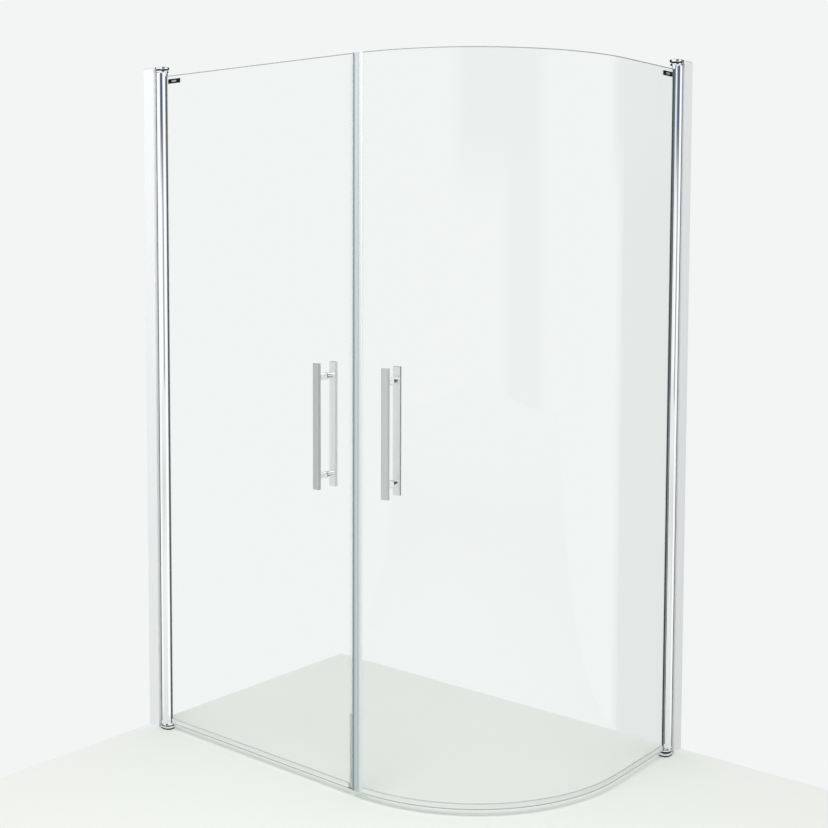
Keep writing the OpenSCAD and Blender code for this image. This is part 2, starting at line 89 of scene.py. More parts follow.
# The photograph's camera: the picture's side, the focal length and the row that its axis meets in
# pixels, its place in metres, and its turns in radians
PICTURE_SIDE = 828
FOCAL_LENGTH = 1265.88
AXIS_ROW = 324.89
SENSOR_WIDTH = 36
CAMERA_PLACE = (2.9727, -3.2396, 1.4434)
CAMERA_HEADING = 0.68503
CAMERA_TILT_DOWN = 0.0636
CAMERA_ROLL = 0.00366
CAMERA_SEES_TO = 60

# The floor's length in metres, and how far from the corner it starts and ends turning into backdrop
FLOOR_REACH = 9
FLOOR_FADE = (3.2, 7)

LAMP_ACROSS = 2.4
LAMP_PLACE = Vector((1.6, -2.2, 3.4))
LAMP_AIM = Vector((0.6, -0.4, 0.8))

# What polished pieces find around them: a backdrop a little over white, because metal swallows some
# of it, then these cards, then a ceiling. Each card: the middle of its azimuth, half its width and
# its soft edge in degrees, the sines of the elevation between which it fades in, and its colour
MIRRORED_WHITE = 1.08
MIRRORED_CARDS = (
    (134.5, 79.5, 4, (-1, -0.9), "272C31"),
    (-20, 12, 5, (-0.6, -0.3), "9CA0A4"),
    (-38, 24, 8, (0.02, 0.10), "5C647E"),
    (62, 14, 6, (0.02, 0.10), "6C8796"),
)
CEILING_FADE = (0.55, 0.8)


def srgb(code):
    """Linear colour of an sRGB hex value such as "D6D9DA"."""
    values = [int(code[i:i + 2], 16) / 255 for i in (0, 2, 4)]
    return tuple(v / 12.92 if v <= 0.04045 else ((v + 0.055) / 1.055) ** 2.4 for v in values)


def rgba(colour):
    """A colour with full alpha."""
    return (*colour, 1)


def darker(colour, share):
    """A colour at this share of its brightness, with full alpha."""
    return rgba([v * share for v in colour])


def between(colour, other):
    """The colour halfway between two."""
    return [(a + b) / 2 for a, b in zip(colour, other)]


def colour_property(name, description, code):
    """A colour that the user can change."""
    return bpy.props.FloatVectorProperty(
        name=name, description=description, subtype="COLOR", size=3, min=0, max=1,
        default=srgb(code))


def size_property(name, description, millimetres, lowest, highest):
    """A length that the user can change."""
    return bpy.props.FloatProperty(
        name=name, description=description, subtype="DISTANCE", unit="LENGTH",
        default=millimetres * MM, min=lowest * MM, max=highest * MM)


def factor_property(name, description, value):
    """A share from 0 to 1 that the user can change."""
    return bpy.props.FloatProperty(
        name=name, description=description, subtype="FACTOR", default=value, min=0, max=1)


class ShowerMetalSettings(bpy.types.PropertyGroup):
    """Colours and gloss of the metal pieces."""

    profile: colour_property("Profile", "Pale silver coating of the wall profiles", "EDEFF0")
    profile_roughness: factor_property("Profile Roughness", "How matt the coating is", 0.48)
    chrome: colour_property("Chrome", "Chrome of the tubes, rings and brackets", "F4F6F7")
    chrome_roughness: factor_property("Chrome Roughness", "How blurred the chrome mirrors", 0.05)
    bar: colour_property("Outer Bar", "Satin steel of the outer handle bars", "CDD0CF")
    bar_roughness: factor_property(
        "Outer Bar Roughness", "How matt the outer bars' brushing is", 0.44)
    # Painted light: the inner bars are the outer bars' brushed steel painted near white, as if lit
    inner_bar: colour_property("Inner Bar", "Bright satin steel of the inner handle bars", "FDFEFE")
    inner_roughness: factor_property(
        "Inner Bar Roughness", "How matt the inner bars' brushing is", 0.32)
    steel: colour_property("Steel", "Stainless steel of the screws, pins and studs", "C4C6C8")


class ShowerGlassSettings(bpy.types.PropertyGroup):
    """Colours of the glass, the seals, and the rubber and plastic pieces."""

    glass: colour_property("Glass", "Colour that light takes on deep in the glass", "D0E6DD")
    glass_depth: bpy.props.FloatProperty(
        name="Tint Depth", description="How fast light takes on the glass's colour, per metre",
        default=13, min=0, max=80)
    # Painted shade: grey-green lines along the glass's ground edges, darker at the foot
    upper_edge_shade: colour_property("Upper Edge", "Ground bevel along the top of the glass", "8B9A94")
    lower_edge_shade: colour_property("Lower Edge", "Ground bevel along the foot of the glass", "4F5B57")
    ground_width: size_property(
        "Ground Width", "How far the ground bevel reaches over the face", 1.8, 0.5, 2.5)
    pale_seal: colour_property("Magnet Seal", "Milky PVC of the closing seals", "B8C1C6")
    dark_seal: colour_property(
        "Magnet Seal Shadow", "Where the magnet shows through the closing seal", "7A8285")
    clear_seal: colour_property("Magnet Seal Lip", "Clear PVC of the closing seals' lips", "E6EBEA")
    # Painted light and shade on the lower seals: the fin is painted paler than the lips to offset
    # its shade, and the line is a painted dark band at the glass's foot
    drip_fin: colour_property(
        "Drip Seal Fin", "Milky PVC of the lower seals under the glass", "F6F9F8")
    drip_lips: colour_property(
        "Drip Seal Lips", "Milky PVC of the lower seals beside the glass", "E0E5E2")
    drip_edge_shade: colour_property(
        "Drip Seal Line", "Where the glass's edge shows through the lower seal", "98A19C")
    gasket: colour_property("Gasket", "Dark lining between glass and tube", "5A5F62")
    magnet: colour_property("Magnet", "Filled rubber strips inside the closing seals", "6C6C72")
    # Painted shade: the clear washers are painted dark as the ring of shade where each post meets
    # the glass
    handle_washer: colour_property(
        "Handle Washer", "Smoky PVC washers between the handles and the glass", "43484A")
    bearing_washer: colour_property(
        "Bearing Washer", "Black acetal washers under and over the tubes", "1A1B1C")
    rubber: colour_property("Rubber", "Black rubber of the tube lips and foot pads", "101112")
    cap: colour_property("Cap", "Moulded lids on the profiles", "C6C9C9")
    badge: colour_property("Badge", "Black plates", "050506")
    badge_bar: colour_property("Badge Bar", "Pale bar in the badge", "8E9194")


class ShowerTrimSettings(bpy.types.PropertyGroup):
    """Sizes of the screws' recesses and of the badges."""

    recess_depth: size_property(
        "Screw Recess", "Depth of the cross recess in the screw heads", 1.3, 0.5, 1.8)
    recess_width: size_property(
        "Recess Width", "Width of each arm of the cross recess", 1.1, 0.6, 1.6)
    badge_corner: size_property("Badge Corner", "Corner radius of the badges", 1.2, 0.3, 4)
    badge_bar_width: size_property(
        "Badge Bar Width", "Width of the pale bar in the badges", 20, 5, 40)
    badge_bar_height: size_property(
        "Badge Bar Height", "Height of the pale bar in the badges", 5.5, 1, 10)


class ShowerStageSettings(bpy.types.PropertyGroup):
    """Floor, backdrop and light."""

    floor: colour_property("Floor", "Plain pale floor", "EAECE8")
    backdrop: colour_property("Backdrop", "Pale background", "F3F5F4")
    ceiling: colour_property("Ceiling", "Dim ceiling that only polished pieces find", "8E9296")
    soft_light: factor_property("Soft Light", "Level of the light from all around", 0.78)
    lamp_power: bpy.props.FloatProperty(
        name="Lamp Power", description="Power of the overhead lamp", subtype="POWER",
        default=60, min=0, max=500)


def add_node(tree, kind, links=None, values=None, **settings):
    """Adds a node with its settings, input values and links, each input given by name or number."""
    made = tree.nodes.new(kind)
    for name, value in settings.items():
        setattr(made, name, value)
    for name, value in (values or {}).items():
        made.inputs[name].default_value = value
    for name, source in (links or {}).items():
        tree.links.new(source, made.inputs[name])
    return made


def new_material(name):
    """An empty node material and its tree."""
    made = bpy.data.materials.new(name)
    made.use_nodes = True
    made.node_tree.nodes.clear()
    return made, made.node_tree


def dress(obj, material):
    """Gives every face of a piece one material."""
    obj.data.materials.clear()
    obj.data.materials.append(material)


def dress_nodes(names, material):
    """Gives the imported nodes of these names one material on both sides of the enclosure."""
    for side in SIDES:
        for name in names:
            dress(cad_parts[f"{side}_{name}"], material)


def coated_aluminium(settings):
    """Extruded aluminium, satin anodised under a baked clear coat that lets it look almost white.

    The eye gets a pale, even silver grey with a soft gloss, and faint lines along the profile from
    the die. Real die lines lie 0.2 mm apart. They are drawn 2 mm apart to show.
    """
    made, tree = new_material("satin_coated_aluminium")
    place = add_node(tree, "ShaderNodeTexCoord")
    stretched = add_node(tree, "ShaderNodeMapping", {"Vector": place.outputs["Object"]},
                         {"Scale": (1 / (2 * MM), 1 / (2 * MM), 1 / (400 * MM))})
    lines = add_node(tree, "ShaderNodeTexNoise", {"Vector": stretched.outputs["Vector"]},
                     {"Scale": 1, "Detail": 3, "Roughness": 0.6})
    base = add_node(tree, "ShaderNodeMix", {0: lines.outputs["Fac"]},
                    {FIRST: darker(settings.profile, 0.96), SECOND: rgba(settings.profile)},
                    data_type="RGBA")
    height = add_node(tree, "ShaderNodeBump", {"Height": lines.outputs["Fac"]},
                      {"Strength": 0.15, "Distance": 0.05 * MM})
    surface = add_node(tree, "ShaderNodeBsdfPrincipled",
                       {"Base Color": base.outputs[MIXED], "Normal": height.outputs["Normal"]},
                       {"Roughness": settings.profile_roughness})
    add_node(tree, "ShaderNodeOutputMaterial", {"Surface": surface.outputs["BSDF"]})
    return made


def bright_chrome(settings):
    """Brass or aluminium, polished and chrome plated.

    The eye gets a sharp mirror of the room with a cool white, and wipe marks a hand wide that blur
    it a little here and there.
    """
    made, tree = new_material("bright_chrome_plating")
    place = add_node(tree, "ShaderNodeTexCoord")
    wipes = add_node(tree, "ShaderNodeTexNoise", {"Vector": place.outputs["Object"]},
                     {"Scale": 1 / (80 * MM), "Detail": 4, "Roughness": 0.55})
    blur = add_node(tree, "ShaderNodeMapRange", {"Value": wipes.outputs["Fac"]},
                    {"From Min": 0.35, "From Max": 0.75,
                     "To Min": settings.chrome_roughness * 0.7,
                     "To Max": settings.chrome_roughness * 1.6})
    surface = add_node(tree, "ShaderNodeBsdfPrincipled", {"Roughness": blur.outputs["Result"]},
                       {"Base Color": rgba(settings.chrome), "Metallic": 1})
    add_node(tree, "ShaderNodeOutputMaterial", {"Surface": surface.outputs["BSDF"]})
    return made


def satin_steel(name, colour, roughness):
    """Stainless steel flat bar, belt-brushed along its length.

    The eye gets a mid grey with a soft sheen and fine strokes that run up the bar. Real strokes lie
    0.1 mm apart and about 30 mm long. They are drawn 1 mm apart to show.
    """
    made, tree = new_material(name)
    place = add_node(tree, "ShaderNodeTexCoord")
    stretched = add_node(tree, "ShaderNodeMapping", {"Vector": place.outputs["Object"]},
                         {"Scale": (1 / MM, 1 / MM, 1 / (30 * MM))})
    strokes = add_node(tree, "ShaderNodeTexNoise", {"Vector": stretched.outputs["Vector"]},
                       {"Scale": 1, "Detail": 5, "Roughness": 0.65})
    base = add_node(tree, "ShaderNodeMix", {0: strokes.outputs["Fac"]},
                    {FIRST: darker(colour, 0.9), SECOND: rgba([min(1, v * 1.05) for v in colour])},
                    data_type="RGBA")
    gloss = add_node(tree, "ShaderNodeMapRange", {"Value": strokes.outputs["Fac"]},
                     {"To Min": roughness - 0.08, "To Max": roughness + 0.08})
    height = add_node(tree, "ShaderNodeBump", {"Height": strokes.outputs["Fac"]},
                      {"Strength": 0.2, "Distance": 0.04 * MM})
    surface = add_node(tree, "ShaderNodeBsdfPrincipled",
                       {"Base Color": base.outputs[MIXED], "Roughness": gloss.outputs["Result"],
                        "Normal": height.outputs["Normal"]},
                       {"Metallic": 1, "Anisotropic": 0.5})
    add_node(tree, "ShaderNodeOutputMaterial", {"Surface": surface.outputs["BSDF"]})
    return made


def turned_stainless_steel(settings):
    """Stainless steel screws, pins and studs, turned and pressed, left bright.

    The eye gets a clear grey glint with a slight grain of 0.3 mm.
    """
    made, tree = new_material("turned_stainless_steel")
    place = add_node(tree, "ShaderNodeTexCoord")
    grain = add_node(tree, "ShaderNodeTexNoise", {"Vector": place.outputs["Object"]},
                     {"Scale": 1 / (0.3 * MM), "Detail": 3})
    gloss = add_node(tree, "ShaderNodeMapRange", {"Value": grain.outputs["Fac"]},
                     {"To Min": 0.18, "To Max": 0.32})
    surface = add_node(tree, "ShaderNodeBsdfPrincipled", {"Roughness": gloss.outputs["Result"]},
                       {"Base Color": rgba(settings.steel), "Metallic": 1})
    add_node(tree, "ShaderNodeOutputMaterial", {"Surface": surface.outputs["BSDF"]})
    return made


def toughened_float_glass(settings, foot, head):
    """Clear soda-lime float glass, toughened, its edges ground with a belt and polished.

    The eye gets an almost clear pane with a breath of green, deeper green where it looks along the
    pane. A band as wide as the ground bevel along the upper and lower edge is painted grey-green as
    the edge's line of shade, the lower one darker as painted shade at the foot. The belt's grain is
    drawn 0.5 mm wide to show.
    """
    made, tree = new_material("toughened_float_glass")
    pane = add_node(tree, "ShaderNodeBsdfPrincipled", values={
        "Base Color": (1, 1, 1, 1), "Roughness": 0, "IOR": 1.52, "Transmission Weight": 1})
    place = add_node(tree, "ShaderNodeTexCoord")
    axes = add_node(tree, "ShaderNodeSeparateXYZ", {0: place.outputs["Object"]})
    middle = (foot + head) / 2
    off_middle = add_node(tree, "ShaderNodeMath", {0: axes.outputs["Z"]}, {1: middle},
                          operation="SUBTRACT")
    off_middle = add_node(tree, "ShaderNodeMath", {0: off_middle.outputs[0]}, operation="ABSOLUTE")
    start = (head - foot) / 2 - settings.ground_width
    bevel = add_node(tree, "ShaderNodeMapRange", {"Value": off_middle.outputs[0]},
                     {"From Min": start, "From Max": start + 0.1 * MM})
    belt = add_node(tree, "ShaderNodeTexNoise", {"Vector": place.outputs["Object"]},
                    {"Scale": 1 / (0.5 * MM), "Detail": 2})
    matt = add_node(tree, "ShaderNodeMapRange", {"Value": belt.outputs["Fac"]},
                    {"To Min": 0.4, "To Max": 0.6})
    # Painted shade: the bevel band is painted grey-green, darker at the foot than at the top
    at_top = add_node(tree, "ShaderNodeMath", {0: axes.outputs["Z"]}, {1: middle},
                      operation="GREATER_THAN")
    edge_shade_tone = add_node(tree, "ShaderNodeMix", {0: at_top.outputs[0]},
                    {FIRST: rgba(settings.lower_edge_shade), SECOND: rgba(settings.upper_edge_shade)},
                    data_type="RGBA")
    ground = add_node(tree, "ShaderNodeBsdfPrincipled",
                      {"Base Color": edge_shade_tone.outputs[MIXED], "Roughness": matt.outputs["Result"]},
                      {"IOR": 1.52})
    body = add_node(tree, "ShaderNodeMixShader",
                    {0: bevel.outputs["Result"], 1: pane.outputs["BSDF"],
                     2: ground.outputs["BSDF"]})
    # Light that only passes on to other pieces goes straight through, a few percent dimmer
    ray = add_node(tree, "ShaderNodeLightPath")
    passing = add_node(tree, "ShaderNodeMath",
                       {0: ray.outputs["Is Shadow Ray"], 1: ray.outputs["Is Diffuse Ray"]},
                       operation="MAXIMUM")
    open_way = add_node(tree, "ShaderNodeBsdfTransparent", values={"Color": rgba(srgb("F9FBFA"))})
    surface = add_node(tree, "ShaderNodeMixShader",
                       {0: passing.outputs[0], 1: body.outputs["Shader"],
                        2: open_way.outputs["BSDF"]})
    tint = add_node(tree, "ShaderNodeVolumeAbsorption", values={
        "Color": rgba(settings.glass), "Density": settings.glass_depth})
    add_node(tree, "ShaderNodeOutputMaterial",
             {"Surface": surface.outputs["Shader"], "Volume": tint.outputs["Volume"]})
    return made


def plastic(name, colour, grain, roughness, bump, cover=1.0, ior=1.5, sheen=0.5):
    """A moulded or extruded plastic or rubber with the grain of its mould, in millimetres.

    The cover is how much it hides what lies behind, 1 for all of it. The sheen is 0.5 for a plain
    surface and less for one that swallows light.
    """
    made, tree = new_material(name)
    place = add_node(tree, "ShaderNodeTexCoord")
    texture = add_node(tree, "ShaderNodeTexNoise", {"Vector": place.outputs["Object"]},
                       {"Scale": 1 / (grain * MM), "Detail": 3, "Roughness": 0.6})
    base = add_node(tree, "ShaderNodeMix", {0: texture.outputs["Fac"]},
                    {FIRST: darker(colour, 0.92), SECOND: rgba(colour)}, data_type="RGBA")
    gloss = add_node(tree, "ShaderNodeMapRange", {"Value": texture.outputs["Fac"]},
                     {"To Min": max(0, roughness - 0.06), "To Max": roughness + 0.06})
    height = add_node(tree, "ShaderNodeBump", {"Height": texture.outputs["Fac"]},
                      {"Strength": bump, "Distance": 0.05 * MM})
    surface = add_node(tree, "ShaderNodeBsdfPrincipled",
                       {"Base Color": base.outputs[MIXED], "Roughness": gloss.outputs["Result"],
                        "Normal": height.outputs["Normal"]},
                       {"Alpha": cover, "IOR": ior, "Specular IOR Level": sheen})
    add_node(tree, "ShaderNodeOutputMaterial", {"Surface": surface.outputs["BSDF"]})
    return made


def banded_pvc(name, axis, start, end, stops, clear_lip=None):
    """Soft PVC, extruded milky in the middle and clearer at the lips that grip the glass.

    The eye gets a pale strip with a soft gloss, darker where a magnet shows through, and a clear lip
    that it hardly sees. A band of painted shade can also be laid in, as at the foot of the glass.
    The stops are a share of the way from start to end of the axis, a colour and a cover, in order.
    A clear lip is given by the Y past which it lies and by the share of the way where it starts.
    """
    made, tree = new_material(name)
    place = add_node(tree, "ShaderNodeTexCoord")
    axes = add_node(tree, "ShaderNodeSeparateXYZ", {0: place.outputs["Object"]})
    across = add_node(tree, "ShaderNodeMapRange", {"Value": axes.outputs[axis]},
                      {"From Min": start, "From Max": end})
    tones = add_node(tree, "ShaderNodeValToRGB", {0: across.outputs["Result"]})
    ramp = tones.color_ramp.elements
    for index, (position, colour, cover) in enumerate(stops):
        # A new ramp comes with two stops
        stop = ramp[index] if index < 2 else ramp.new(position)
        stop.position = position
        stop.color = (*colour, cover)
    alpha = tones.outputs["Alpha"]
    if clear_lip:
        lip_side, lip_start = clear_lip
        inside = add_node(tree, "ShaderNodeMath", {0: axes.outputs["Y"]}, {1: lip_side},
                          operation="GREATER_THAN")
        outer = add_node(tree, "ShaderNodeMath", {0: across.outputs["Result"]}, {1: lip_start},
                         operation="GREATER_THAN")
        lip = add_node(tree, "ShaderNodeMath", {0: inside.outputs[0], 1: outer.outputs[0]},
                       operation="MULTIPLY")
        alpha = add_node(tree, "ShaderNodeMath", {0: alpha, 1: lip.outputs[0]},
                         operation="SUBTRACT", use_clamp=True).outputs[0]
    cloud = add_node(tree, "ShaderNodeTexNoise", {"Vector": place.outputs["Object"]},
                     {"Scale": 1 / (4 * MM), "Detail": 3})
    gloss = add_node(tree, "ShaderNodeMapRange", {"Value": cloud.outputs["Fac"]},
                     {"To Min": 0.28, "To Max": 0.4})
    surface = add_node(tree, "ShaderNodeBsdfPrincipled",
                       {"Base Color": tones.outputs["Color"], "Alpha": alpha,
                        "Roughness": gloss.outputs["Result"]}, {"IOR": 1.53})
    add_node(tree, "ShaderNodeOutputMaterial", {"Surface": surface.outputs["BSDF"]})
    return made


def new_piece(name, bm, material, body, slot, *replaced):
    """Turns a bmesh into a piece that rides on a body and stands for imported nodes."""
    bmesh.ops.recalc_face_normals(bm, faces=bm.faces)
    mesh = bpy.data.meshes.new(name)
    bm.to_mesh(mesh)
    bm.free()
    made = bpy.data.objects.new(name, mesh)
    bpy.context.scene.collection.objects.link(made)
    mesh.materials.append(material)
    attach(made, body)
    if replaced:
        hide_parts(*replaced)
    return made


def rounded_outline(width, depth, radius, steps):
    """Points round a rectangle with round corners, in the plane, about its middle."""
    points = []
    for corner, (sx, sy) in enumerate(((1, 1), (-1, 1), (-1, -1), (1, -1))):
        middle = Vector((sx * (width / 2 - radius), sy * (depth / 2 - radius)))
        for step in range(steps + 1):
            angle = math.pi / 2 * (corner + step / steps)
            points.append(middle + radius * Vector((math.cos(angle), math.sin(angle))))
    return points


def loft(bm, rings):
    """Skins rings of points that all have as many points, and closes the first and the last."""
    rows = [[bm.verts.new(p) for p in ring] for ring in rings]
    count = len(rows[0])
    for low, high in zip(rows, rows[1:]):
        for i in range(count):
            face = bm.faces.new((low[i], low[(i + 1) % count], high[(i + 1) % count], high[i]))
            face.smooth = True
    bm.faces.new(rows[0][::-1])
    bm.faces.new(rows[-1])


def flat_plate(middle, out, along, width, tall, steps, levels):
    """A plate with round corners. Each level: height off the middle, inset and corner radius."""
    bm = bmesh.new()
    loft(bm, [[middle + out * lift + along * p.x + Vector((0, 0, p.y)) for p in
               rounded_outline(width - 2 * inset, tall - 2 * inset, corner, steps)]
              for lift, inset, corner in levels])
    return bm


class SHOWER_OT_wall_profiles(bpy.types.Operator):
    """Finish the wall channels, the adjusting profiles and their lids"""

    bl_idname = "shower.wall_profiles"
    bl_label = "Wall Profiles"

    def execute(self, context):
        dress_nodes(("wall_channel", "adjusting_profile"),
                    coated_aluminium(context.scene.shower_metal))
        # ABS lids, injection moulded in a spark-eroded mould: a matt grey with a fine even grain
        lid = plastic("moulded_abs", context.scene.shower_glass.cap,
                      grain=0.8, roughness=0.5, bump=0.3)
        dress_nodes(("profile_cap",), lid)
        return {"FINISHED"}


def screw_head(bm, centre, out, head_r, settings):
    """A low domed head with a cross recess, as a height field on a round grid."""
    side = out.cross(UP)
    rings, spokes = 14, 48
    angles = [2 * math.pi * k / spokes for k in range(spokes)]
    # How far the dome drops to its rim, as a share of its height, and how late it drops
    drop, lateness = 0.45, 2.6
    # The recess: its depth, half the width of an arm, an arm's reach and how far its walls slope
    recess, half = settings.recess_depth, settings.recess_width / 2
    reach = head_r * 0.62
    side_slope, end_slope = 0.25 * half, 0.3 * reach

    def height(r, angle):
        dome = HEAD_HEIGHT * (1 - drop * (r / head_r) ** lateness)
        u, v = abs(r * math.cos(angle)), abs(r * math.sin(angle))
        narrow, long = min(u, v), max(u, v)
        depth = max(0, min(1, (half - narrow) / side_slope))
        depth *= max(0, min(1, (reach - long) / end_slope))
        return dome - recess * depth

    middle = bm.verts.new(centre + out * height(0, 0))
    rows = []
    for i in range(1, rings + 1):
        r = head_r * i / rings
        rows.append([bm.verts.new(centre + out * height(r, a) + side * (r * math.cos(a))
                                  + UP * (r * math.sin(a))) for a in angles])
    rows.append([bm.verts.new(centre + side * (head_r * math.cos(a)) + UP * (head_r * math.sin(a)))
                 for a in angles])
    for k in range(spokes):
        bm.faces.new((middle, rows[0][k], rows[0][(k + 1) % spokes])).smooth = True
    for low, high in zip(rows, rows[1:]):
        for k in range(spokes):
            face = bm.faces.new((low[k], high[k], high[(k + 1) % spokes], low[(k + 1) % spokes]))
            face.smooth = high is not rows[-1]
    bm.faces.new(rows[-1])


def screw_shank(bm, centre, out, shank_r, length):
    """A shank behind the head, with the ridges of its thread."""
    side = out.cross(UP)
    spokes = 16
    angles = [2 * math.pi * k / spokes for k in range(spokes)]
    root_r = shank_r * THREAD_ROOT_SHARE
    profile = [(root_r, 0)]
    for i in range(int(length / THREAD_PITCH)):
        profile += [(shank_r, THREAD_PITCH * (i + 0.5)), (root_r, THREAD_PITCH * (i + 1))]
    loft(bm, [[centre - out * z + side * (r * math.cos(a)) + UP * (r * math.sin(a))
               for a in angles] for r, z in profile])


class SHOWER_OT_profile_screws(bpy.types.Operator):
    """Make the screws of the profiles and brackets, and finish the pins and studs"""

    bl_idname = "shower.profile_screws"
    bl_label = "Profile Screws"

    def execute(self, context):
        steel = turned_stainless_steel(context.scene.shower_metal)
        for side in SIDES:
            for kind, count in (("clamp_screws", 3), ("bracket_screws", 2)):
                node = f"{side}_{kind}"
                low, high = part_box(node)
                # The heads face the room, and the shanks fill the rest of the box behind them
                out = -OUTWARDS[side]
                head_r = abs((high - low).dot(ALONG[side])) / 2
                depth = abs((high - low).dot(out))
                middle = (low + high) / 2
                seat = middle + out * (depth / 2 - HEAD_HEIGHT)
                bm = bmesh.new()
                for i in range(count):
                    seat.z = low.z + head_r + (high.z - low.z - 2 * head_r) * i / (count - 1)
                    screw_head(bm, seat.copy(), out, head_r, context.scene.shower_trim)
                    screw_shank(bm, seat.copy(), out, head_r * SHANK_SHARE, depth - HEAD_HEIGHT)
                new_piece(f"{side}_cross_{kind}", bm, steel, WALL_FRAME, "steel", node)
        dress_nodes(("pivot_pins", "handle_studs"), steel)
        return {"FINISHED"}


class SHOWER_OT_brackets(bpy.types.Operator):
    """Finish the foot and head brackets with their pads, washers and tube lips"""

    bl_idname = "shower.brackets"
    bl_label = "Brackets"

    def execute(self, context):
        settings = context.scene.shower_glass
        dress_nodes(("foot_bracket", "head_bracket"), bright_chrome(context.scene.shower_metal))
        # EPDM rubber, moulded: a dull near-black with a soft grain
        rubber = plastic("moulded_epdm_rubber", settings.rubber,
                         grain=1.2, roughness=0.75, bump=0.4)
        dress_nodes(("foot_pad", "tube_seal"), rubber)
        # Acetal washers, turned: black with a silky gloss
        acetal = plastic("turned_acetal", settings.bearing_washer,
                         grain=0.5, roughness=0.4, bump=0.2)
        dress_nodes(("bearing_washers",), acetal)
        return {"FINISHED"}


class SHOWER_OT_hinge_tubes(bpy.types.Operator):
    """Finish the hinge tubes and their end rings"""

    bl_idname = "shower.hinge_tubes"
    bl_label = "Hinge Tubes"

    def execute(self, context):
        dress_nodes(("hinge_tube", "lower_ring", "upper_ring"),
                    bright_chrome(context.scene.shower_metal))
        return {"FINISHED"}


class SHOWER_OT_glass(bpy.types.Operator):
    """Finish the flat and the curved glass"""

    bl_idname = "shower.glass_panes"
    bl_label = "Glass"

    def execute(self, context):
        low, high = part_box("left_glass")
        dress_nodes(("glass",), toughened_float_glass(context.scene.shower_glass, low.z, high.z))
        return {"FINISHED"}


class SHOWER_OT_seals(bpy.types.Operator):
    """Finish the gaskets, the magnet seals, the drip seals and the handle washers"""

    bl_idname = "shower.seals"
    bl_label = "Seals"

    def execute(self, context):
        settings = context.scene.shower_glass
        pale, dark, clear = settings.pale_seal, settings.dark_seal, settings.clear_seal
        half_clear, smoky = between(pale, clear), between(pale, dark)
        glass_low, glass_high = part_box("left_glass")
        # From the glass to the free edge: an almost clear lip, the magnet's shadow, the pale nose
        low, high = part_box("left_magnet_seal")
        left_stops = ((0.52, pale, 0.03), (0.68, pale, 0.5), (0.71, dark, 1), (0.84, dark, 1),
                      (0.92, smoky, 1), (1, pale, 1))
        dress(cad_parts["left_magnet_seal"],
              banded_pvc("left_milky_pvc", "X", low.x, high.x, left_stops))
        # From the free edge to the glass: the pale nose, then a paler and a clear lip
        low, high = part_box("right_magnet_seal")
        right_stops = ((0, pale, 1), (0.5, pale, 1), (0.65, half_clear, 1), (0.8, half_clear, 1),
                       (1, clear, 1))
        dress(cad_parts["right_magnet_seal"],
              banded_pvc("right_milky_pvc", "X", low.x, high.x, right_stops,
                         clear_lip=((glass_low.y + glass_high.y) / 2, 0.55)))
        # Painted shade: a dark band where the glass's lower edge sits in the seal, as shares of its
        # height
        low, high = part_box("left_drip_seal")
        edge = (glass_low.z - low.z) / (high.z - low.z)
        line = settings.ground_width / (high.z - low.z)
        fin, lips, shadow = settings.drip_fin, settings.drip_lips, settings.drip_edge_shade
        # Painted light: the fin under the band is painted paler than the lips, to offset the shade
        # it lies in
        drip_stops = ((0, fin, 1), (edge - 0.3 * line, fin, 1), (edge, shadow, 1),
                      (edge + line, shadow, 1), (edge + 1.3 * line, lips, 1), (1, lips, 1))
        dress_nodes(("drip_seal",), banded_pvc("drip_milky_pvc", "Z", low.z, high.z, drip_stops))
        # EPDM gaskets, extruded: dull dark grey lips at the ends of the jaws
        dress_nodes(("glass_gasket",), plastic(
            "extruded_epdm", settings.gasket, grain=1, roughness=0.6, bump=0.2))
        # PVC washers, punched from clear sheet, painted dark grey all over: painted shade for the
        # dark ring at the glass
        dress_nodes(("handle_washers",), plastic(
            "punched_pvc_sheet", settings.handle_washer, grain=2, roughness=0.3, bump=0.1,
            cover=0.95, ior=1.53))
        # Ferrite-filled rubber, extruded: dull dark grey with specks
        dress_nodes(("magnet_strip",), plastic(
            "magnetic_rubber", settings.magnet, grain=0.7, roughness=0.7, bump=0.3))
        return {"FINISHED"}


class SHOWER_OT_handles(bpy.types.Operator):
    """Finish the handle bars and their posts"""

    bl_idname = "shower.handles"
    bl_label = "Handles"

    def execute(self, context):
        settings = context.scene.shower_metal
        dress_nodes(("outer_bar",), satin_steel(
            "brushed_stainless_steel", settings.bar, settings.bar_roughness))
        # Painted light: the inner bars take the same steel painted near white, a lit copy of the
        # outer bars
        dress_nodes(("inner_bar",), satin_steel(
            "brushed_steel_painted_lighter", settings.inner_bar, settings.inner_roughness))
        dress_nodes(("outer_posts", "inner_posts"), bright_chrome(settings))
        return {"FINISHED"}


